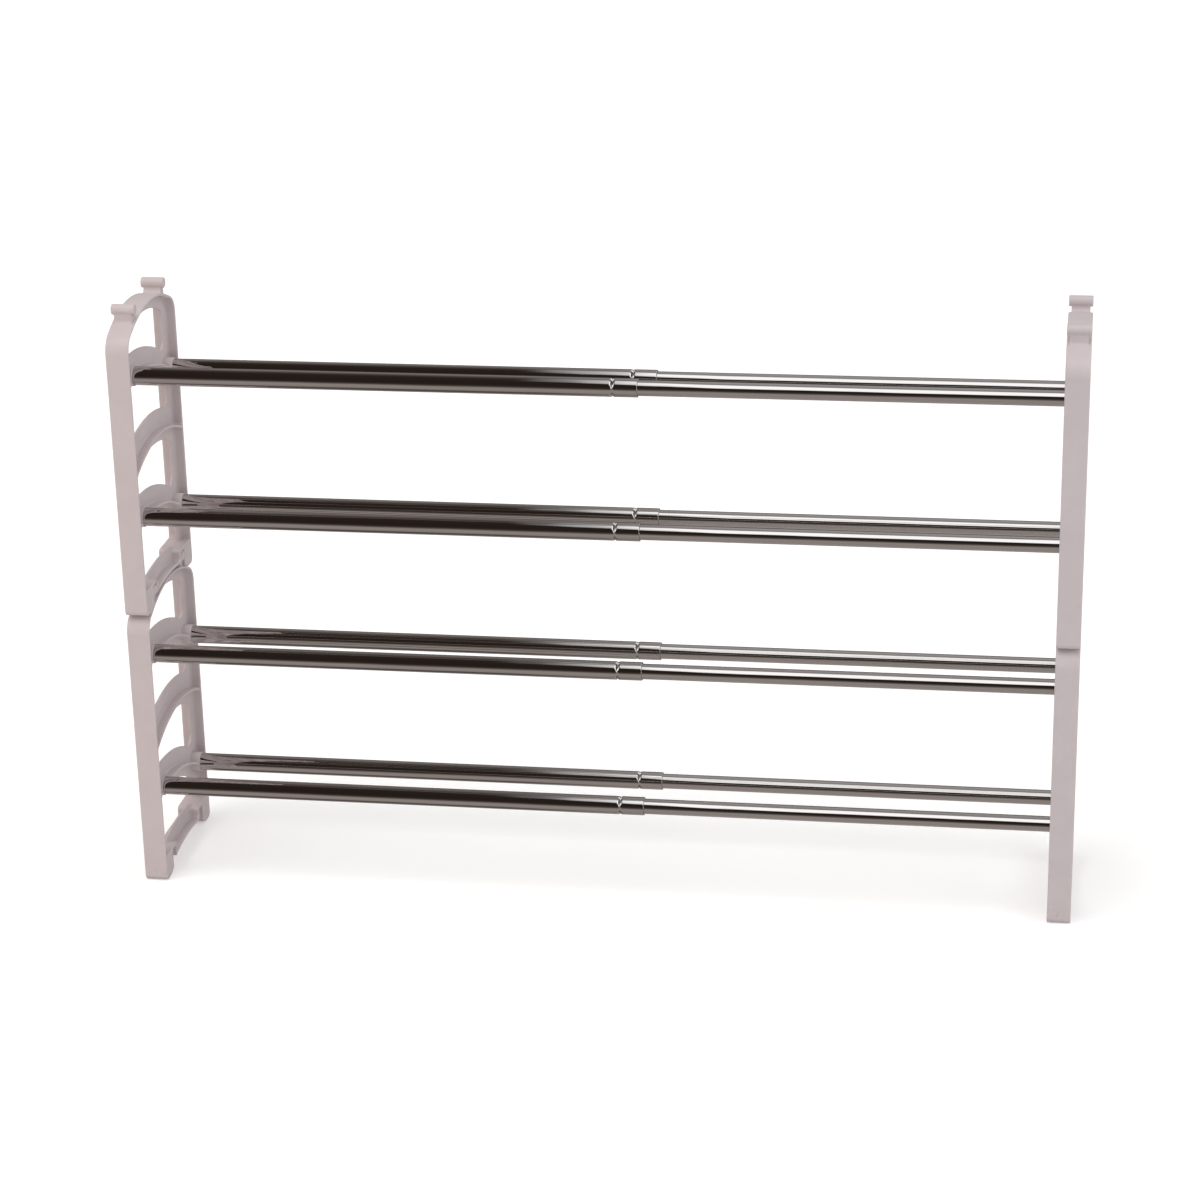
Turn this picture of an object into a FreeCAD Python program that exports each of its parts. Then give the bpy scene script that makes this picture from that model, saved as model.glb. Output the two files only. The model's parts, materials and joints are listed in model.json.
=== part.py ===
"""Pull-out shoe rack: two stacked two-tier units of moulded end frames and telescoping steel tubes.

X runs along the rack from the left end to the right end, Y from the front to the back and Z up.
The origin is on the floor under the middle of the rack as it stands here. Lengths are millimetres.
"""

import FreeCAD, Part
import math
import os

import Sketcher

Vector = FreeCAD.Vector

# Each line: the cell's alias, its value, what it is.
DRIVING_SIZES = [
    ("frame_depth", 174.0, "front face to back face of an end frame"),
    ("frame_width", 24.0, "width of an end frame's flange, along the rods"),
    ("flange", 2.5, "thickness of the flange strip"),
    ("web", 2.6, "thickness of the web in the middle of the flange"),
    ("web_depth", 15.0, "post's outer face to the web's inner edge"),
    ("arch_top", 314.5, "foot to the top of an end frame's arch"),
    ("arch_rise", 23.0, "height of the arch over its ends, if it ran on to the posts' faces"),
    ("shoulder_radius", 20.6, "rounding between a post and the arch"),
    ("web_skirt", 13.0, "underside of a bar's flange to the web's edge below it"),
    ("window_radius", 10.0, "rounding in the corners of the web's windows"),
    ("arch_window_radius", 8.0, "rounding in the corners of the window under the arch"),
    ("cell_radius", 3.5, "rounding where a bar's flange meets a post"),
    ("root_radius", 3.0, "rounding between the web and the flange"),
    ("edge_radius", 0.9, "rounding along the flange's long edges"),
    ("stack_overlap", 14.5, "how far an arch reaches up between the feet of the unit above"),
    ("rod_inset", 17.0, "post's outer face to the middle of a rod"),
    ("rod_below_arch", 60.5, "top of the arch down to the upper front rod"),
    ("rod_drop", 32.0, "how much lower a rear rod lies"),
    ("outer_tube_diameter", 19.0, "outside of the outer tube"),
    ("outer_tube_wall", 0.8, "wall of the outer tube"),
    ("outer_tube_length", 523.0, "length of the outer tube"),
    ("slide_gap", 0.7, "gap all round the inner tube in the outer tube"),
    ("inner_tube_wall", 0.8, "wall of the inner tube"),
    ("inner_tube_length", 504.0, "length of the inner tube"),
    ("overlap", 77.6, "length of the inner tube inside the outer tube, pulled out as it stands"),
    ("neck_setback", 25.0, "outer tube's free end to its rolled neck"),
    ("neck_width", 5.0, "width of the rolled neck"),
    ("neck_gap", 0.15, "gap between the rolled neck and the inner tube"),
    ("glide_gap", 0.12, "gap between a glide's head and the outer tube"),
    ("glide_head", 6.0, "length of a glide's head"),
    ("glide_spigot", 14.0, "length of a glide's spigot"),
    ("fit_gap", 0.05, "gap round a tube in its socket and a spigot in its tube"),
    ("boss_wall", 1.1, "wall of a rod's socket"),
    ("rod_bar_rise", 5.8, "how far a rod bar bows above the line between its rods"),
    ("rod_bar_radius", 225.0, "radius under a rod bar"),
    ("rod_bar_depth", 19.7, "underside to top of a rod bar"),
    ("mid_bar_rise", 64.5, "lower front rod to the crown under the middle bar"),
    ("mid_bar_radius", 210.0, "radius under the middle bar"),
    ("mid_bar_depth", 20.5, "underside to top of the middle bar"),
    ("base_bar_gap", 1.5, "gap between the base bar and the arch of the unit below"),
    ("base_bar_radius", 283.0, "radius under the base bar"),
    ("base_bar_depth", 17.0, "underside to top of the base bar"),
    ("foot_corner", 6.0, "rounding of a foot's outer bottom corner"),
    ("foot_gap", 0.3, "gap between a foot and the arch that it straddles"),
    ("lug_inset", 33.5, "post's outer face to the middle of a lug"),
    ("lug_rise", 3.5, "top of the arch up to the middle of a lug's bead"),
    ("lug_diameter", 11.0, "bead on top of a lug"),
    ("lug_neck_width", 18.5, "width of a lug's neck, along the rods"),
    ("lug_neck_thickness", 8.0, "thickness of a lug's neck"),
    ("lug_root_radius", 4.5, "rounding between a lug's neck and the arch"),
    ("lug_gap", 0.6, "gap round a bead in its slot"),
    ("slot_wall", 3.4, "wall round a lug's slot"),
    ("core_wall", 2.8, "wall round the hollow in the outer side of a foot"),
]

doc = FreeCAD.newDocument("shoe_rack")
sheet = doc.addObject("Spreadsheet::Sheet", "sizes")


def fill_sheet():
    """Writes the driving sizes to the sheet and returns their values by name."""
    for row, (alias, value, meaning) in enumerate(DRIVING_SIZES, 1):
        sheet.set(f"A{row}", alias)
        sheet.set(f"B{row}", str(value))
        sheet.set(f"C{row}", meaning)
        sheet.setAlias(f"B{row}", alias)
    doc.recompute()
    return {alias: float(sheet.get(alias)) for alias, _, _ in DRIVING_SIZES}


size = fill_sheet()

# Places that follow from the driving sizes. A frame is drawn about its own middle plane:
# y is 0 halfway between its posts, z is 0 under its feet.
half_depth = size["frame_depth"] / 2
half_width = size["frame_width"] / 2
inside_flange = half_depth - size["flange"]
inside_web = half_depth - size["web_depth"]
unit_pitch = size["arch_top"] - size["stack_overlap"]
tier_pitch = unit_pitch / 2
rod_y = half_depth - size["rod_inset"]
arch_radius = (half_depth**2 + size["arch_rise"] ** 2) / (2 * size["arch_rise"])
arch_centre = (0.0, size["arch_top"] - arch_radius)
shoulder_y = half_depth - size["shoulder_radius"]
shoulder_reach = arch_radius - size["shoulder_radius"]
shoulder_z = arch_centre[1] + math.sqrt(shoulder_reach**2 - shoulder_y**2)
lug_y = half_depth - size["lug_inset"]
lug_height = size["arch_top"] + size["lug_rise"]
slot_half = size["lug_diameter"] / 2 + size["lug_gap"]
slot_top = lug_height - unit_pitch + slot_half
housing_top = slot_top + size["slot_wall"]
housing_y = lug_y - slot_half - size["slot_wall"]
base_crown = size["stack_overlap"] + size["base_bar_gap"]
base_centre = (0.0, base_crown - size["base_bar_radius"])
sill_radius = size["base_bar_radius"] + size["base_bar_depth"]
sill_y = math.sqrt(sill_radius**2 - (housing_top - base_centre[1]) ** 2)
arch_below = (0.0, arch_centre[1] - unit_pitch)
straddle_radius = arch_radius + size["foot_gap"]

# The same places as expressions of the sheet, for what the document works out itself.
UNIT_PITCH = "(sizes.arch_top - sizes.stack_overlap)"
SOCKET_FLOOR = "(sizes.outer_tube_length + sizes.inner_tube_length - sizes.overlap) / 2"
SOCKET_DEPTH = "(sizes.frame_width - sizes.web) / 2"
INNER_TUBE = "sizes.outer_tube_diameter - 2 * (sizes.outer_tube_wall + sizes.slide_gap)"


def rod_height(level, place):
    """Height of a rod above its own frame's feet. level is 0 or 1, place is front or rear."""
    drop = size["rod_drop"] if place == "rear" else 0.0
    return size["arch_top"] - size["rod_below_arch"] - (1 - level) * tier_pitch - drop


def rod_centres():
    """The four rods of one frame, as (y, z)."""
    places = (("front", -rod_y), ("rear", rod_y))
    return [(y, rod_height(level, place)) for level in (0, 1) for place, y in places]


def rod_bar_centre(level):
    """Middle of the circles that bound a rod bar, square to the line between its two rods."""
    span = math.hypot(2 * rod_y, size["rod_drop"])
    middle_z = (rod_height(level, "front") + rod_height(level, "rear")) / 2
    reach = size["rod_bar_rise"] - size["rod_bar_radius"]
    return (reach * size["rod_drop"] / span, middle_z + reach * 2 * rod_y / span)


def on_circle(centre, radius, y):
    """The point at y on the upper half of a circle."""
    return (y, centre[1] + math.sqrt(radius**2 - (y - centre[0]) ** 2))


def outline(path):
    """Edges of an outline. path holds points, or (centre, point) for an arc about that centre."""
    edges = []
    here = path[0]
    for step in path[1:]:
        if isinstance(step[0], tuple):
            centre, there = step
            radius = math.dist(centre, here)
            middle = Vector(here[0] + there[0] - 2 * centre[0], here[1] + there[1] - 2 * centre[1])
            crown = Vector(*centre) + middle.normalize() * radius
            edges.append(Part.Arc(Vector(*here), crown, Vector(*there)))
        else:
            there = step
            edges.append(Part.LineSegment(Vector(*here), Vector(*there)))
        here = there
    return edges


def flipped(path):
    """The same path on the other side of the frame's middle, drawn the other way."""
    points = [step[1] if isinstance(step[0], tuple) else step for step in path]
    centres = [step[0] if isinstance(step[0], tuple) else None for step in path]
    back = [(-points[-1][0], points[-1][1])]
    for point, centre in zip(points[-2::-1], centres[:0:-1]):
        there = (-point[0], point[1])
        back.append(((-centre[0], centre[1]), there) if centre else there)
    return back


def shoulder_points(inset):
    """Where the shoulder's arc leaves the post and meets the arch, at an inset from the outside."""
    lean = (arch_radius - inset) / shoulder_reach
    meets = (-shoulder_y * lean, arch_centre[1] + (shoulder_z - arch_centre[1]) * lean)
    return (-half_depth + inset, shoulder_z), meets


def silhouette():
    """Outside of an end frame: base bar, slots for the lugs below, feet, posts, shoulders and arch."""
    slot_in = -lug_y + slot_half
    slot_out = -lug_y - slot_half
    heel = -math.sqrt(straddle_radius**2 - arch_below[1] ** 2)
    toe = -half_depth + size["foot_corner"]
    post, arch = shoulder_points(0.0)
    half = [
        (0.0, base_crown),
        (base_centre, on_circle(base_centre, size["base_bar_radius"], slot_in)),
        (slot_in, slot_top),
        (slot_out, slot_top),
        on_circle(arch_below, straddle_radius, slot_out),
        (arch_below, (heel, 0.0)),
        (toe, 0.0),
        ((toe, size["foot_corner"]), (-half_depth, size["foot_corner"])),
        post,
        ((-shoulder_y, shoulder_z), arch),
        (arch_centre, (0.0, size["arch_top"])),
    ]
    return outline(half + flipped(half)[1:])


def bars():
    """The bars from the top down, each as (centre, radius of the underside, depth)."""
    upper = (rod_bar_centre(1), size["rod_bar_radius"], size["rod_bar_depth"])
    mid_crown = rod_height(0, "front") + size["mid_bar_rise"]
    mid_centre = (0.0, mid_crown - size["mid_bar_radius"])
    middle = (mid_centre, size["mid_bar_radius"], size["mid_bar_depth"])
    lower = (rod_bar_centre(0), size["rod_bar_radius"], size["rod_bar_depth"])
    return [upper, middle, lower]


def between_bars(ceiling, floor, side, lift):
    """Opening between a bar's underside and lift above the next bar's underside."""
    top_centre, top_radius, _ = ceiling
    low_centre, low_radius, _ = floor
    low_left = on_circle(low_centre, low_radius + lift, -side)
    return [
        low_left,
        on_circle(top_centre, top_radius, -side),
        (top_centre, on_circle(top_centre, top_radius, side)),
        on_circle(low_centre, low_radius + lift, side),
        (low_centre, low_left),
    ]


def flange_cells():
    """The recesses that leave the flange strip standing round the posts, the arch and under each bar."""
    upper, middle, lower = bars()
    post, arch = shoulder_points(size["flange"])
    floor_left = on_circle(upper[0], upper[1] + size["flange"], -inside_flange)
    floor_right = on_circle(upper[0], upper[1] + size["flange"], inside_flange)
    left = [
        floor_left,
        post,
        ((-shoulder_y, shoulder_z), arch),
        (arch_centre, (0.0, size["arch_top"] - size["flange"])),
    ]
    top_cell = left + flipped(left)[1:-1] + [floor_right, (upper[0], floor_left)]
    foot_side = [
        (-inside_flange, housing_top),
        (-housing_y, housing_top),
        on_circle(base_centre, size["base_bar_radius"] + size["flange"], -housing_y),
    ]
    far_side = flipped(foot_side)
    base_cell = (
        foot_side
        + [(base_centre, far_side[0])]
        + far_side[1:]
        + [
            on_circle(lower[0], lower[1], inside_flange),
            (lower[0], on_circle(lower[0], lower[1], -inside_flange)),
            foot_side[0],
        ]
    )
    return [
        top_cell,
        between_bars(upper, middle, inside_flange, size["flange"]),
        between_bars(middle, lower, inside_flange, size["flange"]),
        base_cell,
    ]


def web_windows():
    """The openings right through the web, one above each bar."""
    upper, middle, lower = bars()
    arch = (arch_centre, arch_radius - size["web_depth"], 0.0)
    below_upper, below_middle, below_lower = [
        (centre, radius - size["web_skirt"], 0.0) for centre, radius, _ in (upper, middle, lower)
    ]
    centre, radius, _ = below_lower
    return [
        between_bars(arch, upper, inside_web, upper[2]),
        between_bars(below_upper, middle, inside_web, middle[2]),
        between_bars(below_middle, lower, inside_web, lower[2]),
        [
            (-inside_web, housing_top),
            on_circle(centre, radius, -inside_web),
            (centre, on_circle(centre, radius, inside_web)),
            (inside_web, housing_top),
            (sill_y, housing_top),
            (base_centre, (-sill_y, housing_top)),
            (-inside_web, housing_top),
        ],
    ]


def new_sketch(body, name, role="YZ_Plane", offset=None):
    """An empty sketch on one of the body's own planes, lifted off it by an expression."""
    sketch = body.newObject("Sketcher::SketchObject", name)
    origin_plane = next(f for f in body.Origin.OriginFeatures if f.Role == role)
    sketch.AttachmentSupport = (origin_plane, [""])
    sketch.MapMode = "FlatFace"
    if offset:
        sketch.setExpression("AttachmentOffset.Base.z", offset)
    return sketch


def add_circle(sketch, name, centre, diameter):
    """A circle whose size is bound to the sheet by an expression."""
    index = sketch.addGeometry(Part.Circle(Vector(*centre), Vector(0, 0, 1), 1.0))
    for axis, place in (("DistanceX", centre[0]), ("DistanceY", centre[1])):
        sketch.addConstraint(Sketcher.Constraint(axis, -1, 1, index, 3, place))
    bound = sketch.addConstraint(Sketcher.Constraint("Diameter", index, 2.0))
    sketch.renameConstraint(bound, name)
    sketch.setExpression(f"Constraints.{name}", diameter)


def add_rectangle(sketch, low, high):
    """A rectangle between two corners."""
    corners = [low, (high[0], low[1]), high, (low[0], high[1]), low]
    sketch.addGeometry(outline(corners))


def pad(body, name, sketch, length, symmetric=False, reverse=False):
    """Pads a sketch by an expression."""
    feature = body.newObject("PartDesign::Pad", name)
    feature.Profile = sketch
    feature.SideType = "Symmetric" if symmetric else "One side"
    feature.Reversed = reverse
    feature.setExpression("Length", length)
    return feature


def pocket(body, name, sketch, length, reverse):
    """Cuts a sketch into the body by an expression."""
    feature = body.newObject("PartDesign::Pocket", name)
    feature.Profile = sketch
    feature.Reversed = reverse
    feature.setExpression("Length", length)
    return feature


# The two roundings of a window's upright side fill no more than this share of it.
SIDE_SHARE = 0.97


def corner_reach(corner, centre, level):
    """How far along a window's side a rounding of radius 1 reaches, from a corner on a bar's circle.

    level is 1 for the floor of the window and -1 for its ceiling.
    """
    away = (corner[0] - centre[0]) / math.dist(corner, centre)
    cosine = level * away * math.copysign(1.0, corner[0])
    return math.sqrt((1.0 + cosine) / (1.0 - cosine))


def corner_radius(alias, windows):
    """A window radius, or less where the shortest side of the windows has no room for it."""
    rooms = []
    for left_floor, left_ceiling, (ceiling, right_ceiling), right_floor, (floor, _) in windows:
        for low, high in ((left_floor, left_ceiling), (right_floor, right_ceiling)):
            reach = corner_reach(low, floor, 1) + corner_reach(high, ceiling, -1)
            rooms.append((high[1] - low[1]) / reach)
    return f"min(sizes.{alias}; {SIDE_SHARE * min(rooms)})"


def rounded(body, name, radius, wanted):
    """Fillets every edge of the body so far that wanted() accepts."""
    doc.recompute()
    base = body.Tip
    chosen = [f"Edge{i}" for i, edge in enumerate(base.Shape.Edges, 1) if wanted(edge)]
    feature = body.newObject("PartDesign::Fillet", name)
    feature.Base = (base, chosen)
    feature.setExpression("Radius", radius)
    return feature


def runs_along_x(edge):
    """True for a straight edge between two points that differ only in X."""
    a, b = (v.Point for v in (edge.Vertexes[0], edge.Vertexes[-1]))
    return math.hypot(a.y - b.y, a.z - b.z) < 1e-4 and abs(a.x - b.x) > size["web"] / 2


def window_corner(windows):
    """A test that is true for an edge at a corner of one of these windows."""
    corners = [step[1] if isinstance(step[0], tuple) else step for window in windows for step in window]

    def wanted(edge):
        point = edge.Vertexes[0].Point
        here = (point.y, point.z)
        return runs_along_x(edge) and any(math.dist(here, corner) < 1e-3 for corner in corners)

    return wanted


def on_cell_corner(edge):
    """True for an edge at a sharp corner of one of the recesses between the flanges."""
    recess = (size["frame_width"] - size["web"]) / 2
    if not runs_along_x(edge) or abs(edge.Length - recess) > 1e-3:
        return False
    point = edge.Vertexes[0].Point
    smooth = [(abs(y), z) for y, z in shoulder_points(size["flange"])]
    return all(math.dist((abs(point.y), point.z), place) > 1e-3 for place in smooth)


def lies_at(x):
    """A test that is true for an edge in the plane at x."""

    def wanted(edge):
        box = edge.BoundBox
        return box.XLength < 1e-4 and abs(box.XMin - x) < 1e-4

    return wanted


def on_bead_end(edge):
    """True for the round edge at either end of a lug's bead."""
    box = edge.BoundBox
    return box.XLength < 1e-4 and abs(box.Center.z - lug_height) < 1e-4


def end_frame(unit, hand):
    """One moulded end frame. unit is lower or upper, hand is left or right."""
    body = doc.addObject("PartDesign::Body", f"{unit}_{hand}_frame")
    body.Label = f"{unit}_{hand}_frame"
    left = hand == "left"

    web_sketch = new_sketch(body, f"{body.Name}_web_outline")
    web_sketch.addGeometry(silhouette())
    pad(body, f"{body.Name}_web", web_sketch, "sizes.web", symmetric=True)
    flange_sketch = new_sketch(body, f"{body.Name}_flange_outline")
    flange_sketch.addGeometry(silhouette())
    for cell in flange_cells():
        flange_sketch.addGeometry(outline(cell))
    pad(body, f"{body.Name}_flange", flange_sketch, "sizes.frame_width", symmetric=True)
    rounded(body, f"{body.Name}_cell_corners", "sizes.cell_radius", on_cell_corner)
    for name, side in (("left", -1), ("right", 1)):
        rounded(body, f"{body.Name}_{name}_roots", "sizes.root_radius", lies_at(side * size["web"] / 2))
        rounded(body, f"{body.Name}_{name}_rims", "sizes.edge_radius", lies_at(side * half_width))

    cut_windows(body)
    add_sockets(body, left)
    add_lugs(body)
    core_feet(body, left)
    side = "-" if left else ""
    body.setExpression("Placement.Base.x", f"{side}({SOCKET_FLOOR} + sizes.web / 2)")
    if unit == "upper":
        body.setExpression("Placement.Base.z", UNIT_PITCH)
    return body


def cut_windows(body):
    """The windows through the web, rounded but for the lowest one's bottom corners."""
    windows = web_windows()
    sketch = new_sketch(body, f"{body.Name}_window_outlines")
    for window in windows:
        sketch.addGeometry(outline(window))
    cut = pocket(body, f"{body.Name}_windows", sketch, "sizes.frame_width", reverse=False)
    cut.SideType = "Symmetric"
    arch_window, *bar_windows, base_window = windows
    corner_sets = (
        ("arch_corners", "arch_window_radius", [arch_window], [arch_window]),
        ("corners", "window_radius", bar_windows, bar_windows + [base_window[1:3]]),
    )
    for name, alias, sides, corners in corner_sets:
        radius = corner_radius(alias, sides)
        rounded(body, f"{body.Name}_{name}", radius, window_corner(corners))


def add_sockets(body, left):
    """A round boss for each rod on the frame's inner side, with a blind bore down to the web."""
    bosses = new_sketch(body, f"{body.Name}_boss_circles")
    bores = new_sketch(body, f"{body.Name}_bore_circles", offset=("" if left else "-") + "sizes.web / 2")
    tube = "sizes.outer_tube_diameter" if left else INNER_TUBE
    for number, centre in enumerate(rod_centres(), 1):
        add_circle(bosses, f"boss_{number}", centre, "sizes.outer_tube_diameter + 2 * sizes.boss_wall")
        add_circle(bores, f"bore_{number}", centre, f"{tube} + 2 * sizes.fit_gap")
    pad(body, f"{body.Name}_bosses", bosses, "sizes.frame_width / 2", reverse=not left)
    pocket(body, f"{body.Name}_sockets", bores, SOCKET_DEPTH, reverse=left)


def neck_outline(side):
    """Outline of a lug's neck, rounded out onto the arch at its root. side is -1 front or 1 rear."""
    radius = size["lug_root_radius"]
    half_neck = size["lug_neck_thickness"] / 2
    flanks = []
    for y, out in ((lug_y - half_neck, -1), (lug_y + half_neck, 1)):
        reach = y + out * radius
        centre = on_circle(arch_centre, arch_radius + radius, reach)
        share = arch_radius / (arch_radius + radius)
        meets = (reach * share, arch_centre[1] + (centre[1] - arch_centre[1]) * share)
        flanks.append((y, centre, meets))
    (inner, inner_centre, inner_root), (outer, outer_centre, outer_root) = flanks
    depth = size["flange"] / 2
    path = [
        inner_root,
        (inner_centre, (inner, inner_centre[1])),
        (inner, lug_height),
        (outer, lug_height),
        (outer, outer_centre[1]),
        (outer_centre, outer_root),
        (outer_root[0], outer_root[1] - depth),
        (inner_root[0], inner_root[1] - depth),
        inner_root,
    ]
    return outline(path if side > 0 else flipped(path))


def add_lugs(body):
    """Two lugs on the arch, each a narrow neck under a round bead."""
    necks = new_sketch(body, f"{body.Name}_lug_necks")
    beads = new_sketch(body, f"{body.Name}_lug_beads")
    for name, side in (("front", -1), ("rear", 1)):
        necks.addGeometry(neck_outline(side))
        add_circle(beads, f"{name}_bead", (side * lug_y, lug_height), "sizes.lug_diameter")
    pad(body, f"{body.Name}_necks", necks, "sizes.lug_neck_width", symmetric=True)
    pad(body, f"{body.Name}_beads", beads, "sizes.frame_width", symmetric=True)
    rounded(body, f"{body.Name}_bead_ends", "sizes.edge_radius", on_bead_end)


def core_feet(body, left):
    """Hollows in the outer side of the feet, down to the web."""
    cores = new_sketch(body, f"{body.Name}_foot_cores", offset=("-" if left else "") + "sizes.web / 2")
    wall = size["core_wall"]
    near = lug_y + slot_half + wall
    far = half_depth - wall
    _, underside = on_circle(arch_below, straddle_radius, lug_y + slot_half)
    for side in (-1, 1):
        add_rectangle(cores, (side * near, underside + wall), (side * far, housing_top - wall))
    pocket(body, f"{body.Name}_cores", cores, SOCKET_DEPTH, reverse=not left)


def turned_piece(label, path, x, y, z):
    """A round piece about a line along X: path is its section as (distance along X, radius)."""
    body = doc.addObject("PartDesign::Body", label)
    body.Label = label
    section = new_sketch(body, f"{label}_section", role="XZ_Plane")
    section.addGeometry(outline(path))
    turn = body.newObject("PartDesign::Revolution", f"{label}_turn")
    turn.Profile = section
    turn.ReferenceAxis = (section, ["H_Axis"])
    turn.Angle = 360.0
    for axis, place in (("x", x), ("y", y), ("z", z)):
        body.setExpression(f"Placement.Base.{axis}", place)
    return body


outer_tube_radius = size["outer_tube_diameter"] / 2
outer_tube_bore = outer_tube_radius - size["outer_tube_wall"]
inner_tube_radius = outer_tube_bore - size["slide_gap"]
inner_tube_bore = inner_tube_radius - size["inner_tube_wall"]


def outer_tube_section():
    """Half section of the outer tube, with the neck rolled into it near its free end."""
    length = size["outer_tube_length"]
    neck = length - size["neck_setback"]
    half = size["neck_width"] / 2
    dip = size["slide_gap"] - size["neck_gap"]
    bend = (half**2 + dip**2) / (2 * dip)
    return [
        (0.0, outer_tube_bore),
        (neck - half, outer_tube_bore),
        ((neck, outer_tube_bore - dip + bend), (neck + half, outer_tube_bore)),
        (length, outer_tube_bore),
        (length, outer_tube_radius),
        (neck + half, outer_tube_radius),
        ((neck, outer_tube_radius - dip + bend), (neck - half, outer_tube_radius)),
        (0.0, outer_tube_radius),
        (0.0, outer_tube_bore),
    ]


def inner_tube_section():
    """Half section of the inner tube."""
    length = size["inner_tube_length"]
    return [
        (0.0, inner_tube_bore),
        (length, inner_tube_bore),
        (length, inner_tube_radius),
        (0.0, inner_tube_radius),
        (0.0, inner_tube_bore),
    ]


def glide_section():
    """Half section of a glide: a head that runs in the outer tube, a spigot in the inner tube."""
    head = outer_tube_bore - size["glide_gap"]
    spigot = inner_tube_bore - size["fit_gap"]
    shoulder = size["glide_head"]
    end = shoulder + size["glide_spigot"]
    return [
        (0.0, 0.0),
        (0.0, head),
        (shoulder, head),
        (shoulder, spigot),
        (end, spigot),
        (end, 0.0),
        (0.0, 0.0),
    ]


def telescoping_rod(tier, place):
    """Outer tube, inner tube and glide of one rod. tier counts from 1 at the bottom."""
    unit, level = divmod(tier - 1, 2)
    rear = place == "rear"
    y = ("" if rear else "-") + "(sizes.frame_depth / 2 - sizes.rod_inset)"
    steps = 2 * unit + level - 1
    drop = " - sizes.rod_drop" if rear else ""
    z = f"sizes.arch_top - sizes.rod_below_arch + {steps} * {UNIT_PITCH} / 2{drop}"
    name = f"tier{tier}_{place}"
    inner_x = f"{SOCKET_FLOOR} - sizes.inner_tube_length"
    return [
        turned_piece(f"{name}_outer_tube", outer_tube_section(), f"-{SOCKET_FLOOR}", y, z),
        turned_piece(f"{name}_inner_tube", inner_tube_section(), inner_x, y, z),
        turned_piece(f"{name}_glide", glide_section(), f"{inner_x} - sizes.glide_head", y, z),
    ]


def check_document():
    """Stops if any object failed to compute."""
    for thing in doc.Objects:
        if "Invalid" in thing.State or "Error" in thing.State:
            raise RuntimeError(f"{thing.Label} failed: {thing.State}")


def export(pieces):
    """Checks each piece and writes it to its own file."""
    os.makedirs("parts", exist_ok=True)
    for piece in pieces:
        shape = piece.Shape
        if shape.isNull() or not shape.isValid() or len(shape.Solids) != 1:
            raise RuntimeError(f"{piece.Label} isn't one valid solid")
        shape.exportStep(f"parts/{piece.Label}.step")
        box = shape.BoundBox
        print(f"{piece.Label}: {shape.Volume / 1000:.2f} cm3, x {box.XMin:.1f} to {box.XMax:.1f}")


pieces = [end_frame(unit, hand) for unit in ("lower", "upper") for hand in ("left", "right")]
for tier in (1, 2, 3, 4):
    for place in ("front", "rear"):
        pieces += telescoping_rod(tier, place)
doc.recompute()
check_document()
export(pieces)
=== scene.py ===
"""Pull-out shoe rack: moulded end frames and chromed telescoping rods, dressed and set in a studio.

Everything is in metres in the rack's own frame: X along the rack from the left end to the right
end, Y from the front to the back, Z up from the floor.
"""

import json
import math

import bpy
import numpy as np
from bpy.props import FloatProperty, FloatVectorProperty, IntProperty, PointerProperty
from mathutils import Matrix, Vector

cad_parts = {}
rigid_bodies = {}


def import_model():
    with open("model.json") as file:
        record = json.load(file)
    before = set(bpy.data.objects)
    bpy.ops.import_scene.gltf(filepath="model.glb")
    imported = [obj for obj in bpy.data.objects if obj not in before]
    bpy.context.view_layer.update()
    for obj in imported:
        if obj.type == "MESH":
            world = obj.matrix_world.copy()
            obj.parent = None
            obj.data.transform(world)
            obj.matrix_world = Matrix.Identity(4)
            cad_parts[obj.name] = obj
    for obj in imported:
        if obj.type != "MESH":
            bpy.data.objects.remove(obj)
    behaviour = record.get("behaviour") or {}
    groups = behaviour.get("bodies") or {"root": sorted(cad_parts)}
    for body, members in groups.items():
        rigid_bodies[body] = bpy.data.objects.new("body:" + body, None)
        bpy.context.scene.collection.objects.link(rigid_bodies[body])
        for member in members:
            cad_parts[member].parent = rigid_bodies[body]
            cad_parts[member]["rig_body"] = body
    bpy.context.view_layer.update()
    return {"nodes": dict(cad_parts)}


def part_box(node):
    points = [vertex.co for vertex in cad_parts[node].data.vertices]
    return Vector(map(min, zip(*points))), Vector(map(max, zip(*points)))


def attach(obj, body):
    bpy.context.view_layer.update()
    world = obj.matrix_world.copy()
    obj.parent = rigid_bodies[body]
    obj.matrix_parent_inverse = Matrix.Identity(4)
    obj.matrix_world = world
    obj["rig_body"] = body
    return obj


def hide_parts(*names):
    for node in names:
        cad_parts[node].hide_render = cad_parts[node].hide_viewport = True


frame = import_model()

bl_info = {
    "name": "Pull-out shoe rack",
    "version": (1, 0, 0),
    "blender": (4, 5, 0),
    "location": "3D View > Sidebar > Shoe Rack",
    "description": "Dresses the moulded frames, turns the chromed rods and sets up the studio",
    "category": "Object",
}

FRAMES = sorted(name for name in frame["nodes"] if name.endswith("_frame"))
OUTER_TUBES = sorted(name for name in frame["nodes"] if name.endswith("_outer_tube"))
INNER_TUBES = sorted(name for name in frame["nodes"] if name.endswith("_inner_tube"))
GLIDES = sorted(name for name in frame["nodes"] if name.endswith("_glide"))


# Sizes and colours


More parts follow.
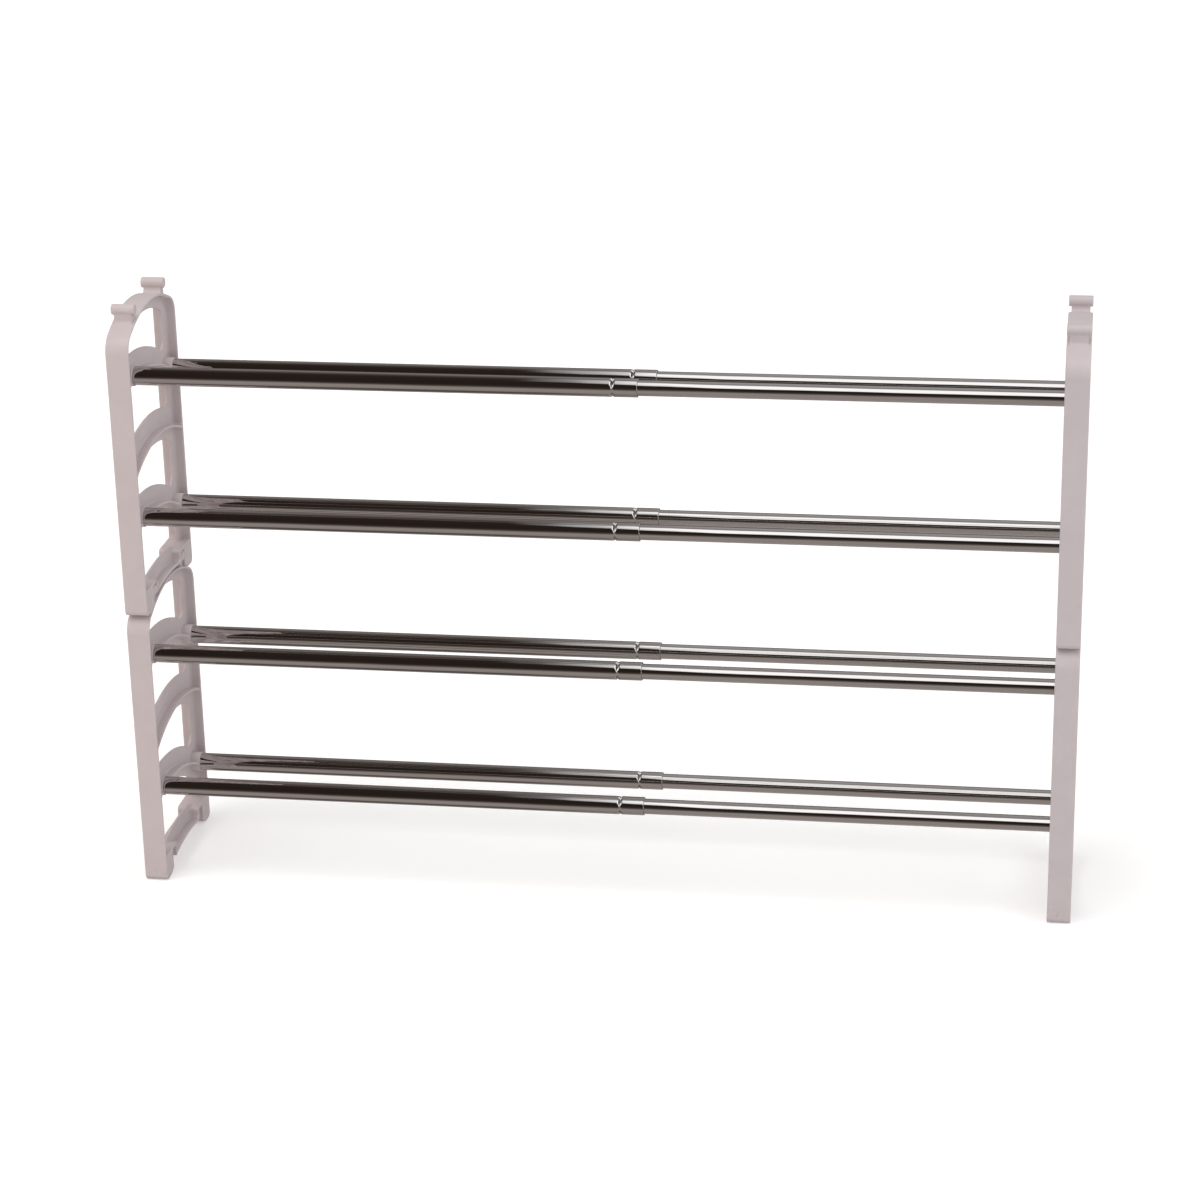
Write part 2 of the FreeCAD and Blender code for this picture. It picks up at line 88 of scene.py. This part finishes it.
class RodSettings(bpy.types.PropertyGroup):
    """Sizes of the chromed rods that the frame's boxes don't give."""

    wall: FloatProperty(
        name="Tube wall",
        description="Thickness of the tubes' steel",
        default=0.0008,
        unit="LENGTH",
    )
    neck_setback: FloatProperty(
        name="Neck setback",
        description="Outer tube's free end to the middle of its rolled neck",
        default=0.025,
        unit="LENGTH",
    )
    neck_width: FloatProperty(
        name="Neck width",
        description="Width of the rolled neck",
        default=0.0054,
        unit="LENGTH",
    )
    neck_depth: FloatProperty(
        name="Neck depth",
        description="How far the neck is pressed into the outside, before its bottom is blunted",
        default=0.00095,
        unit="LENGTH",
    )
    neck_gap: FloatProperty(
        name="Neck gap",
        description="How far the neck stands in from the bore, before its bottom is blunted",
        default=0.00055,
        unit="LENGTH",
    )
    edge: FloatProperty(
        name="Edge rounding",
        description="Rounding of the tubes' cut ends",
        default=0.00035,
        unit="LENGTH",
    )
    segments: IntProperty(
        name="Segments",
        description="Facets round a tube",
        default=144,
        min=24,
    )


class FinishSettings(bpy.types.PropertyGroup):
    """Colours and textures of the plastic and the chrome."""

    plastic: FloatVectorProperty(
        name="Plastic",
        description="Colour of the moulded frames",
        default=(0.606, 0.526, 0.532),
        subtype="COLOR",
        size=3,
    )
    glide: FloatVectorProperty(
        name="Glide plastic",
        description="Colour of the glides inside the rods",
        default=(0.70, 0.69, 0.66),
        subtype="COLOR",
        size=3,
    )
    chrome: FloatVectorProperty(
        name="Chrome",
        description="Reflected colour of the chromed tubes",
        default=(0.66, 0.64, 0.635),
        subtype="COLOR",
        size=3,
    )
    softness: FloatProperty(
        name="Moulded softness",
        description="Radius over which the moulding's edges and inner corners look rounded",
        default=0.0016,
        unit="LENGTH",
    )


class StudioSettings(bpy.types.PropertyGroup):
    """Lamps and floor."""

    floor: FloatVectorProperty(
        name="Floor",
        description="Colour of the floor",
        default=(0.80, 0.79, 0.78),
        subtype="COLOR",
        size=3,
    )
    key: FloatProperty(
        name="Key light",
        description="Strength of the far light from above, a little from the front and the left",
        default=1.20,
        min=0.0,
    )
    fill: FloatProperty(
        name="Fill light",
        description="Strength of the far light from the right",
        default=0.75,
        min=0.0,
    )
    warm: FloatProperty(
        name="Warm box",
        description="Power of the warm soft box on the left",
        default=2.0,
        min=0.0,
        unit="POWER",
    )
    cool: FloatProperty(
        name="Cool box",
        description="Power of the cool soft box on the right",
        default=2.2,
        min=0.0,
        unit="POWER",
    )
    sky: FloatProperty(
        name="Room light",
        description="Strength of the even light from all round",
        default=0.54,
        min=0.0,
    )


class RackSettings(bpy.types.PropertyGroup):
    """All the settings of the rack."""

    rods: PointerProperty(type=RodSettings, name="Rods", description="Sizes of the rods")
    finish: PointerProperty(type=FinishSettings, name="Finish", description="Colours and textures")
    studio: PointerProperty(type=StudioSettings, name="Studio", description="Lamps and floor")


# Shader trees


class Signal:
    """A number that varies over a surface. Arithmetic on it adds Math nodes to its tree."""

    def __init__(self, tree, socket):
        self.tree = tree
        self.socket = socket

    def __add__(self, other):
        return self.tree.math("ADD", self, other)

    def __sub__(self, other):
        return self.tree.math("SUBTRACT", self, other)

    def __rsub__(self, other):
        return self.tree.math("SUBTRACT", other, self)

    def __mul__(self, other):
        return self.tree.math("MULTIPLY", self, other)

    def __truediv__(self, other):
        return self.tree.math("DIVIDE", self, other)

    def __neg__(self):
        return self.tree.math("MULTIPLY", self, -1.0)

    __radd__ = __add__
    __rmul__ = __mul__


class Tree:
    """The nodes of one material or world."""

    def __init__(self, owner):
        owner.use_nodes = True
        self.nodes = owner.node_tree.nodes
        self.links = owner.node_tree.links
        self.nodes.clear()

    def node(self, kind, settings=None, sockets=None):
        """Adds a node: first its settings, then a value or a link for each socket named."""
        made = self.nodes.new(kind)
        for name, value in (settings or {}).items():
            if name == "stops":
                self._set_stops(made.color_ramp, value)
            else:
                setattr(made, name, value)
        for name, value in (sockets or {}).items():
            if isinstance(value, Signal):
                self.links.new(value.socket, made.inputs[name])
            elif isinstance(value, bpy.types.NodeSocket):
                self.links.new(value, made.inputs[name])
            else:
                made.inputs[name].default_value = value
        return made

    def _set_stops(self, ramp, stops):
        while len(ramp.elements) < len(stops):
            ramp.elements.new(1.0)
        for element, (place, colour) in zip(ramp.elements, stops):
            element.position = place
            element.color = colour

    def math(self, operation, a, b=0.0):
        """One Math node as a signal."""
        made = self.node("ShaderNodeMath", {"operation": operation}, {0: a, 1: b})
        return Signal(self, made.outputs[0])

    def dot(self, a, b):
        """Dot product of two vectors as a signal."""
        made = self.node("ShaderNodeVectorMath", {"operation": "DOT_PRODUCT"}, {0: a, 1: b})
        return Signal(self, made.outputs["Value"])

    def step(self, value, low, high):
        """0 below low and 1 above high, smooth between. low may be the larger of the two."""
        made = self.node(
            "ShaderNodeMapRange",
            {"interpolation_type": "SMOOTHSTEP"},
            {"Value": value, "From Min": low, "From Max": high},
        )
        return Signal(self, made.outputs["Result"])

    def band(self, value, rise_from, rise_to, fall_from, fall_to):
        """0 outside the first and last number, 1 between the middle two, smooth between."""
        return self.step(value, rise_from, rise_to) * self.step(value, fall_to, fall_from)

    def place(self, scale=(1.0, 1.0, 1.0)):
        """Object coordinates in metres, stretched by scale."""
        coordinates = self.node("ShaderNodeTexCoord").outputs["Object"]
        if scale == (1.0, 1.0, 1.0):
            return coordinates
        made = self.node("ShaderNodeMapping", {}, {"Vector": coordinates, "Scale": scale})
        return made.outputs["Vector"]

    def axes(self, vector):
        """The three parts of a vector as signals."""
        made = self.node("ShaderNodeSeparateXYZ", {}, {0: vector})
        return [Signal(self, made.outputs[i]) for i in range(3)]

    def noise(self, where, size, detail=2.0, roughness=0.5):
        """Noise from 0 to 1 with features of about the given size in metres."""
        made = self.node(
            "ShaderNodeTexNoise",
            {},
            {"Vector": where, "Scale": 1.0 / size, "Detail": detail, "Roughness": roughness},
        )
        return Signal(self, made.outputs[0])

    def mix(self, factor, a, b):
        """Colour that goes from a to b."""
        made = self.node("ShaderNodeMix", {"data_type": "RGBA"}, {0: factor, 6: a, 7: b})
        return made.outputs[2]

    def bump(self, height, depth, normal=None):
        """Normal tilted by a height from 0 to 1 that stands for the given depth in metres."""
        sockets = {"Strength": 1.0, "Distance": depth, "Height": height}
        if normal:
            sockets["Normal"] = normal
        return self.node("ShaderNodeBump", {}, sockets).outputs["Normal"]

    def surface(self, shader):
        """Ends the tree of a material in a shader's socket."""
        self.node("ShaderNodeOutputMaterial", {}, {"Surface": shader})


# Materials

# Plastic: sizes of its mottling, clouds, flow lines, scuffs and mould grain, how the flow lines are
# stretched, the height up to which it is scuffed, the depth of its relief, and how soft a glide's
# edges are.
MOTTLE_SIZE = 0.045
CLOUD_SIZE = 0.012
FLOW_SIZE, FLOW_STRETCH = 0.004, (1.0, 1.0, 0.12)
SCUFF_SIZE = 0.0035
FRAME_GRAIN = 0.0005
GLIDE_GRAIN = 0.0004
SCUFF_HEIGHT = 0.03
RELIEF_DEPTH = 0.00003
GLIDE_SOFTNESS = 0.0005
BEVEL_SAMPLES = 8
PLASTIC_IOR = 1.49

# Chrome: sizes of its waves, drawn lines, smears and rubbed lines, how far each is stretched along
# the tube, and the depths of the waves and the lines.
WAVE_SIZE, WAVE_STRETCH = 0.011, (0.12, 1.0, 1.0)
LINE_SIZE, LINE_STRETCH = 0.0009, (0.01, 1.0, 1.0)
SMEAR_SIZE, SMEAR_STRETCH = 0.012, (0.25, 1.0, 1.0)
RUB_SIZE, RUB_STRETCH = 0.0016, (0.03, 1.0, 1.0)
WAVE_DEPTH = 0.00025
LINE_DEPTH = 0.0000015


def opaque(colour):
    """A colour property as red, green, blue and alpha."""
    return (*colour, 1.0)


def shade(colour, factor):
    """The colour made lighter or darker by a factor."""
    return opaque([part * factor for part in colour])


def moulded_plastic(name, colour, softness, grain):
    """Moulded plastic: faint mottling, fine mould grain, softened edges, scuffs near the floor."""
    material = bpy.data.materials.new(name)
    tree = Tree(material)
    where = tree.place()
    _, _, height = tree.axes(where)
    bevel = tree.node("ShaderNodeBevel", {"samples": BEVEL_SAMPLES}, {"Radius": softness})
    soft = bevel.outputs["Normal"]
    true_normal = tree.node("ShaderNodeNewGeometry").outputs["Normal"]
    edge = tree.step(1.0 - tree.dot(soft, true_normal), 0.02, 0.3)

    mottle = tree.noise(where, MOTTLE_SIZE, 3.0)
    cloud = tree.noise(where, CLOUD_SIZE, 4.0, 0.6)
    fine = tree.noise(where, grain)
    flow = tree.noise(tree.place(FLOW_STRETCH), FLOW_SIZE, 3.0, 0.55)
    low = tree.step(height, SCUFF_HEIGHT, 0.0)
    scuff = tree.step(tree.noise(where, SCUFF_SIZE, 4.0, 0.65), 0.52, 0.72) * low

    body = tree.mix(tree.step(mottle, 0.3, 0.7), shade(colour, 0.975), shade(colour, 1.02))
    body = tree.mix(tree.step(cloud, 0.45, 0.75) * 0.35, body, shade(colour, 0.94))
    body = tree.mix(edge * 0.25, body, shade(colour, 1.10))
    body = tree.mix(scuff * 0.5, body, shade(colour, 0.55))

    roughness = 0.40 + 0.08 * mottle + 0.07 * cloud - 0.08 * edge + 0.15 * scuff
    relief = fine * 0.75 + flow * 0.25
    shader = tree.node(
        "ShaderNodeBsdfPrincipled",
        {},
        {
            "Base Color": body,
            "Roughness": roughness,
            "IOR": PLASTIC_IOR,
            "Normal": tree.bump(relief, RELIEF_DEPTH, soft),
        },
    )
    tree.surface(shader.outputs["BSDF"])
    return material


def chrome(name, colour, worn):
    """Bright chrome on drawn tube: slow waves, fine lines, smears, rubbing as strong as worn."""
    material = bpy.data.materials.new(name)
    tree = Tree(material)
    waves = tree.noise(tree.place(WAVE_STRETCH), WAVE_SIZE, 1.0)
    lines = tree.noise(tree.place(LINE_STRETCH), LINE_SIZE)
    smear = tree.noise(tree.place(SMEAR_STRETCH), SMEAR_SIZE, 4.0, 0.6)
    rub = tree.step(tree.noise(tree.place(RUB_STRETCH), RUB_SIZE), 0.55, 0.75) * worn
    haze = tree.step(smear, 0.5, 0.8)

    body = tree.mix(haze * 0.3, opaque(colour), shade(colour, 0.93))
    roughness = 0.025 + 0.03 * haze + 0.05 * rub
    drawn = tree.bump(waves, WAVE_DEPTH)
    shader = tree.node(
        "ShaderNodeBsdfPrincipled",
        {},
        {
            "Base Color": body,
            "Metallic": 1.0,
            "Roughness": roughness,
            "Normal": tree.bump(lines, LINE_DEPTH, drawn),
        },
    )
    tree.surface(shader.outputs["BSDF"])
    return material


# Turned pieces

# Points along a rolled neck and on the rounding of a cut edge, how sharply a neck's flanks bend,
# and how blunt its bottom is, as a share of half its width.
NECK_POINTS = 41
EDGE_POINTS = 6
NECK_POWER = 2.4
NECK_BLUNT = 0.05


def arc(centre, radius, start, end, count):
    """Points of a circular arc: centre + radius (cos t, sin t), t even from start to end."""
    t = np.linspace(start, end, count)
    return np.stack([centre[0] + radius * np.cos(t), centre[1] + radius * np.sin(t)], 1)


def tube_profile(start, end, radius, wall, edge, neck=None):
    """Closed loop of (x, r) round a tube's wall, with rounded ends.

    The wall runs out along the outer radius and back along the bore. neck is (place, width, outer
    depth, inner depth): each run is pressed in there by its depth times (1 - v)^NECK_POWER, where
    v^2 is u^2 + NECK_BLUNT^2, and u is the distance from the neck's middle as a share of half its
    width. So the flanks bend over gently and meet in a tight, slightly blunt bottom.
    """
    quarter = math.pi / 2
    bore = radius - wall
    along = np.array([start + edge, start + 2 * edge, end - 2 * edge, end - edge])
    outer_dent = inner_dent = np.zeros_like(along)
    if neck:
        place, width, outer_depth, inner_depth = neck
        u = np.linspace(-1.0, 1.0, NECK_POINTS)
        lead = np.array([place - width / 2 - edge, place + width / 2 + edge])
        along = np.sort(np.concatenate([along, place + width / 2 * u, lead]))
        share = np.clip(np.abs(along - place) / (width / 2), 0.0, 1.0)
        press = (1.0 - np.hypot(share, NECK_BLUNT)).clip(0.0) ** NECK_POWER
        outer_dent, inner_dent = outer_depth * press, inner_depth * press
    out_run = np.stack([along, radius - outer_dent], 1)
    bore_run = np.stack([along, bore - inner_dent], 1)[::-1]
    far = [
        arc((end - edge, radius - edge), edge, quarter, 0.0, EDGE_POINTS)[1:],
        arc((end - edge, bore + edge), edge, 0.0, -quarter, EDGE_POINTS)[:-1],
    ]
    near = [
        arc((start + edge, bore + edge), edge, -quarter, -2 * quarter, EDGE_POINTS)[1:],
        arc((start + edge, radius - edge), edge, 2 * quarter, quarter, EDGE_POINTS)[:-1],
    ]
    return np.concatenate([out_run, *far, bore_run, *near])


def turned_mesh(name, profile, centre, segments):
    """Surface of revolution about a line along X.

    A point (x, r) of the profile, turned by the angle t, lies at (x, cy + r cos t, cz + r sin t).
    Profile and angle both close on themselves, so the surface has no border and no pole.
    """
    t = np.linspace(0.0, 2.0 * math.pi, segments, endpoint=False)
    x, r = profile[:, :1], profile[:, 1:]
    points = np.stack([x + 0.0 * t, centre[0] + r * np.cos(t), centre[1] + r * np.sin(t)], -1)
    index = np.arange(points.shape[0] * segments).reshape(-1, segments)
    along = np.roll(index, -1, 0)
    faces = np.stack([index, along, np.roll(along, -1, 1), np.roll(index, -1, 1)], -1)
    mesh = bpy.data.meshes.new(name)
    mesh.from_pydata(points.reshape(-1, 3).tolist(), [], faces.reshape(-1, 4).tolist())
    mesh.polygons.foreach_set("use_smooth", np.ones(len(mesh.polygons), bool))
    mesh.validate()
    return mesh


def stand_in(node, profile_of, material, segments):
    """Makes the turned piece that stands for a CAD node, riding where the node rides."""
    low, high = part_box(node)
    radius = (high.z - low.z) / 2
    centre = ((low.y + high.y) / 2, (low.z + high.z) / 2)
    mesh = turned_mesh(f"{node}_chromed", profile_of(low.x, high.x, radius), centre, segments)
    mesh.materials.append(material)
    piece = bpy.data.objects.new(mesh.name, mesh)
    bpy.context.scene.collection.objects.link(piece)
    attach(piece, frame["nodes"][node]["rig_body"])
    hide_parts(node)


def give_material(node, material):
    """Puts a material on all of a CAD node."""
    slots = frame["nodes"][node].data.materials
    slots.clear()
    slots.append(material)


# Operators


class RACK_OT_end_frames(bpy.types.Operator):
    """Gives the four end frames their moulded plastic"""

    bl_idname = "rack.end_frames"
    bl_label = "End frames"

    def execute(self, context):
        finish = context.scene.shoe_rack.finish
        material = moulded_plastic("frame_plastic", finish.plastic, finish.softness, FRAME_GRAIN)
        for node in FRAMES:
            give_material(node, material)
        return {"FINISHED"}


class RACK_OT_outer_tubes(bpy.types.Operator):
    """Turns the eight outer tubes, each with its rolled neck"""

    bl_idname = "rack.outer_tubes"
    bl_label = "Outer tubes"

    def execute(self, context):
        rods = context.scene.shoe_rack.rods
        material = chrome("outer_chrome", context.scene.shoe_rack.finish.chrome, 0.0)

        def profile(start, end, radius):
            neck = (end - rods.neck_setback, rods.neck_width, rods.neck_depth, rods.neck_gap)
            return tube_profile(start, end, radius, rods.wall, rods.edge, neck)

        for node in OUTER_TUBES:
            stand_in(node, profile, material, rods.segments)
        return {"FINISHED"}


class RACK_OT_inner_tubes(bpy.types.Operator):
    """Turns the eight inner tubes that slide in the outer ones"""

    bl_idname = "rack.inner_tubes"
    bl_label = "Inner tubes"

    def execute(self, context):
        rods = context.scene.shoe_rack.rods
        material = chrome("inner_chrome", context.scene.shoe_rack.finish.chrome, 1.0)

        def profile(start, end, radius):
            return tube_profile(start, end, radius, rods.wall, rods.edge)

        for node in INNER_TUBES:
            stand_in(node, profile, material, rods.segments)
        return {"FINISHED"}


class RACK_OT_glides(bpy.types.Operator):
    """Gives the glides inside the rods their plastic"""

    bl_idname = "rack.glides"
    bl_label = "Glides"

    def execute(self, context):
        finish = context.scene.shoe_rack.finish
        material = moulded_plastic("glide_plastic", finish.glide, GLIDE_SOFTNESS, GLIDE_GRAIN)
        for node in GLIDES:
            give_material(node, material)
        return {"FINISHED"}


# Studio

# Floor: its radius, the points on its rim, how far it lies under the feet, and how much it glows
# for rays from the camera, metal and glass.
FLOOR_RADIUS = 14.0
FLOOR_POINTS = 96
FLOOR_DROP = 0.0001
FLOOR_GLOW = 0.35

# Lamps: the direction that each shines in, the spread of the far ones, and the place, side and
# colour of the near ones.
KEY_TOWARDS, KEY_SPREAD = (0.30, 0.35, -1.0), math.radians(50.0)
FILL_TOWARDS, FILL_SPREAD = (-1.0, 0.15, -0.4), math.radians(60.0)
BOX_SIDE = 0.6
WARM_PLACE, WARM_TOWARDS = (-1.35, -0.75, 0.75), (0.87, 0.75, -0.40)
WARM_COLOUR = (1.0, 0.78, 0.50)
COOL_PLACE, COOL_TOWARDS = (1.50, -1.00, 0.80), (-1.02, 1.0, -0.45)
COOL_COLOUR = (0.72, 0.88, 1.0)

# Camera: its place, its turn to the left, down and round, its lens in millimetres and its shift.
CAMERA_PLACE = (0.49193, -3.11232, 1.46637)
CAMERA_TURN = (0.1626, 0.3748, -0.0223)
CAMERA_LENS = 97.37
CAMERA_SHIFT = (0.0094, 0.0582)
SENSOR_WIDTH = 36.0
CLIP_END = 100.0

# The room that metal shows, round the rack's long axis: share of a turn, level and warmth.
ROOM_RING = (
    (0.000, 0.028, 0.30),
    (0.028, 0.020, 0.35),
    (0.060, 0.017, 0.45),
    (0.230, 0.021, 0.40),
    (0.290, 0.055, 0.25),
    (0.345, 0.150, 0.12),
    (0.415, 0.260, 0.12),
    (0.450, 0.110, 0.12),
    (0.530, 0.050, 0.12),
    (0.565, 0.290, 0.12),
    (0.700, 0.380, 0.10),
    (0.820, 0.290, 0.14),
    (0.900, 0.325, 0.14),
    (0.938, 0.240, 0.16),
    (0.965, 0.085, 0.20),
    (1.000, 0.028, 0.30),
)

# Its bright and dark shapes. Each rises between the first two numbers and falls between the last
# two: along the rack (x of a direction), round it (share of a turn), or along the arches' slant.
STRIP_ALONG = (-0.178, -0.113, 0.24, 0.34)
STRIP_ROUND = (0.088, 0.118, 0.212, 0.255)
HALO_ROUND = (0.16, 0.20, 0.36, 0.44)
UNDER_ROUND = (0.67, 0.70, 0.785, 0.81)
ARCH_SLANT = (0.93, 1.05, 1.24, 1.36)
BEHIND_ROUND = (0.335, 0.365, 0.415, 0.445)

# The strip leans beyond this x, by this share of a turn for each unit of x. The halo is this share
# of it, and the dark ground this share of full.
LEAN_FROM = -0.11
LEAN = 1.33
HALO_SHARE = 0.2
UNDER_SHARE = 0.75

# The arches and the strip behind begin away from this x, and the arches' legs spread by the slope.
MIDDLE = -0.13
ARCH_ASIDE = (0.24, 0.34)
BEHIND_ASIDE = (0.16, 0.24)
ARCH_SLOPE = 1.2
ARCH_FRONT = (0.05, -0.05)

# Levels of the strip, of the arches and of the dark ground, which is warm by the last number.
STRIP_LEVEL = 1.45
ARCH_LEVEL = 1.3
UNDER_LEVEL, UNDER_WARMTH = 0.03, 0.2


def floor_sheet():
    """A flat round floor just under the feet, its rim's points evenly spaced on a circle."""
    t = np.linspace(0.0, 2.0 * math.pi, FLOOR_POINTS, endpoint=False)
    rim = np.stack(
        [FLOOR_RADIUS * np.cos(t), FLOOR_RADIUS * np.sin(t), np.full_like(t, -FLOOR_DROP)], 1
    )
    mesh = bpy.data.meshes.new("floor")
    mesh.from_pydata(rim.tolist(), [], [list(range(len(t)))])
    return mesh


def floor_material(colour):
    """Pale floor that keeps shadows. It glows a little, so that it looks white where unshaded."""
    material = bpy.data.materials.new("floor_pale")
    tree = Tree(material)
    path = tree.node("ShaderNodeLightPath")
    kinds = ("Camera", "Glossy", "Transmission")
    camera, glossy, transmission = (Signal(tree, path.outputs[f"Is {kind} Ray"]) for kind in kinds)
    glow = (camera + glossy + transmission) * FLOOR_GLOW
    diffuse = tree.node("ShaderNodeBsdfDiffuse", {}, {"Color": opaque(colour)})
    lift = tree.node("ShaderNodeEmission", {}, {"Color": grey(1.0), "Strength": glow})
    lit = tree.node("ShaderNodeAddShader", {}, {0: diffuse.outputs[0], 1: lift.outputs[0]})
    tree.surface(lit.outputs[0])
    return material


def grey(level, warmth=0.0):
    """A grey as red, green, blue and alpha, warmer by a share of itself."""
    return (level * (1.0 + warmth), level, level * (1.0 - 0.5 * warmth), 1.0)


def room_in_metal(tree):
    """What bright metal shows of the room: dark ahead, a white strip overhead, pale ground, arches.

    ROOM_RING runs once round the rack's long axis: from level at the front over the top to level
    at the back and under the floor. The strip lies across it, from the middle of the rack to the
    right, with a faint halo. The ground is dark under the rest of the rack. The arches are two
    white bands that come down to either side, and the rolled necks show them. A second strip hangs
    behind the rack, away from the middle.
    """
    x, y, z = tree.axes(tree.node("ShaderNodeTexCoord").outputs["Generated"])
    turn = tree.math("FRACT", tree.math("ARCTAN2", z, -y) / (2.0 * math.pi) + 1.0)
    stops = [(place, grey(level, warmth)) for place, level, warmth in ROOM_RING]
    ramp = tree.node("ShaderNodeValToRGB", {"stops": stops}, {0: turn})

    along = tree.band(x, *STRIP_ALONG)
    lean = turn + LEAN * tree.math("MINIMUM", x - LEAN_FROM, 0.0)
    strip = tree.band(lean, *STRIP_ROUND)
    halo = tree.band(turn, *HALO_ROUND)
    lamp = (strip + HALO_SHARE * halo) * along
    under = tree.band(turn, *UNDER_ROUND) * (1.0 - along)

    aside = tree.math("ABSOLUTE", x - MIDDLE)
    arches = tree.band(ARCH_SLOPE * aside + z, *ARCH_SLANT)
    arches = arches * tree.step(aside, *ARCH_ASIDE) * tree.step(y, *ARCH_FRONT)
    behind = tree.band(turn, *BEHIND_ROUND) * tree.step(aside, *BEHIND_ASIDE)

    dark = grey(UNDER_LEVEL, UNDER_WARMTH)
    colour = tree.mix(under * UNDER_SHARE, ramp.outputs["Color"], dark)
    colour = tree.mix(lamp, colour, grey(STRIP_LEVEL))
    return tree.mix(tree.math("MAXIMUM", arches, behind), colour, grey(ARCH_LEVEL))


def studio_world(strength):
    """Even light from all round. The camera sees white, and metal sees the room."""
    world = bpy.data.worlds.new("studio")
    tree = Tree(world)
    path = tree.node("ShaderNodeLightPath")
    mirrored = tree.math(
        "MAXIMUM",
        Signal(tree, path.outputs["Is Glossy Ray"]),
        Signal(tree, path.outputs["Is Transmission Ray"]),
    )
    colour = tree.mix(mirrored, grey(strength), room_in_metal(tree))
    colour = tree.mix(Signal(tree, path.outputs["Is Camera Ray"]), colour, grey(1.0))
    background = tree.node("ShaderNodeBackground", {}, {"Color": colour})
    tree.node("ShaderNodeOutputWorld", {}, {"Surface": background.outputs[0]})
    return world


def hang(lamp, towards, place=(0.0, 0.0, 0.0)):
    """Puts a lamp into the scene, shining along a direction, unseen by camera and metal."""
    rig = bpy.data.objects.new(lamp.name, lamp)
    bpy.context.scene.collection.objects.link(rig)
    rig.location = place
    rig.rotation_euler = Vector(towards).to_track_quat("-Z", "Y").to_euler()
    rig.visible_camera = False
    rig.visible_glossy = False


def soft_sun(name, strength, towards, spread):
    """A lamp far away, shining along a direction."""
    lamp = bpy.data.lights.new(name, "SUN")
    lamp.energy = strength
    lamp.angle = spread
    hang(lamp, towards)


def soft_box(name, power, place, towards, colour):
    """A square lamp near the rack, of one colour."""
    lamp = bpy.data.lights.new(name, "AREA")
    lamp.energy = power
    lamp.size = BOX_SIDE
    lamp.color = colour
    hang(lamp, towards, place)


def camera_at(place, right, up, lens, shift):
    """Puts a camera at a place, from its own right and up directions."""
    camera = bpy.data.cameras.new("camera")
    camera.sensor_width = SENSOR_WIDTH
    camera.lens = lens
    camera.shift_x, camera.shift_y = shift
    camera.clip_end = CLIP_END
    rig = bpy.data.objects.new("camera", camera)
    bpy.context.scene.collection.objects.link(rig)
    right, up = Vector(right), Vector(up)
    turn = Matrix((right, up, right.cross(up))).transposed()
    rig.matrix_world = Matrix.Translation(place) @ turn.to_4x4()
    bpy.context.scene.camera = rig


def camera_axes(yaw, pitch, roll):
    """Right and up directions of a camera turned left by yaw, down by pitch and round by roll."""
    forward = np.array([-math.sin(yaw), math.cos(yaw), 0.0])
    ahead = math.cos(pitch) * forward - math.sin(pitch) * np.array([0.0, 0.0, 1.0])
    level = np.array([math.cos(yaw), math.sin(yaw), 0.0])
    above = np.cross(level, ahead)
    right = math.cos(roll) * level + math.sin(roll) * above
    up = -math.sin(roll) * level + math.cos(roll) * above
    return right, up


class RACK_OT_studio(bpy.types.Operator):
    """Sets up the floor, the lamps, the room and the camera"""

    bl_idname = "rack.studio"
    bl_label = "Studio"

    def execute(self, context):
        studio = context.scene.shoe_rack.studio
        mesh = floor_sheet()
        mesh.materials.append(floor_material(studio.floor))
        floor = bpy.data.objects.new("floor", mesh)
        floor.visible_glossy = False
        context.scene.collection.objects.link(floor)
        context.scene.world = studio_world(studio.sky)
        soft_sun("key", studio.key, KEY_TOWARDS, KEY_SPREAD)
        soft_sun("fill", studio.fill, FILL_TOWARDS, FILL_SPREAD)
        soft_box("warm", studio.warm, WARM_PLACE, WARM_TOWARDS, WARM_COLOUR)
        soft_box("cool", studio.cool, COOL_PLACE, COOL_TOWARDS, COOL_COLOUR)
        right, up = camera_axes(*CAMERA_TURN)
        camera_at(CAMERA_PLACE, right, up, CAMERA_LENS, CAMERA_SHIFT)
        context.scene.view_settings.view_transform = "Standard"
        return {"FINISHED"}


class RACK_PT_sidebar(bpy.types.Panel):
    """Lists the rack's operators and settings in the 3D view's sidebar"""

    bl_idname = "RACK_PT_sidebar"
    bl_label = "Pull-out shoe rack"
    bl_space_type = "VIEW_3D"
    bl_region_type = "UI"
    bl_category = "Shoe Rack"

    def draw(self, context):
        settings = context.scene.shoe_rack
        for operator in OPERATORS:
            self.layout.operator(operator.bl_idname)
        for group in (settings.rods, settings.finish, settings.studio):
            box = self.layout.box()
            for name in group.bl_rna.properties.keys():
                if name not in ("rna_type", "name"):
                    box.prop(group, name)


GROUPS = (RodSettings, FinishSettings, StudioSettings, RackSettings)
OPERATORS = (
    RACK_OT_end_frames,
    RACK_OT_outer_tubes,
    RACK_OT_inner_tubes,
    RACK_OT_glides,
    RACK_OT_studio,
)


def register():
    """Registers the classes and hangs the settings on the scene."""
    for cls in (*GROUPS, *OPERATORS, RACK_PT_sidebar):
        bpy.utils.register_class(cls)
    bpy.types.Scene.shoe_rack = PointerProperty(type=RackSettings)


def unregister():
    """Takes the settings and the classes away again."""
    del bpy.types.Scene.shoe_rack
    for cls in reversed((*GROUPS, *OPERATORS, RACK_PT_sidebar)):
        bpy.utils.unregister_class(cls)


def main():
    """Builds the dressed rack."""
    register()
    bpy.ops.rack.end_frames()
    bpy.ops.rack.outer_tubes()
    bpy.ops.rack.inner_tubes()
    bpy.ops.rack.glides()
    bpy.ops.rack.studio()


if __name__ == "__main__":
    main()
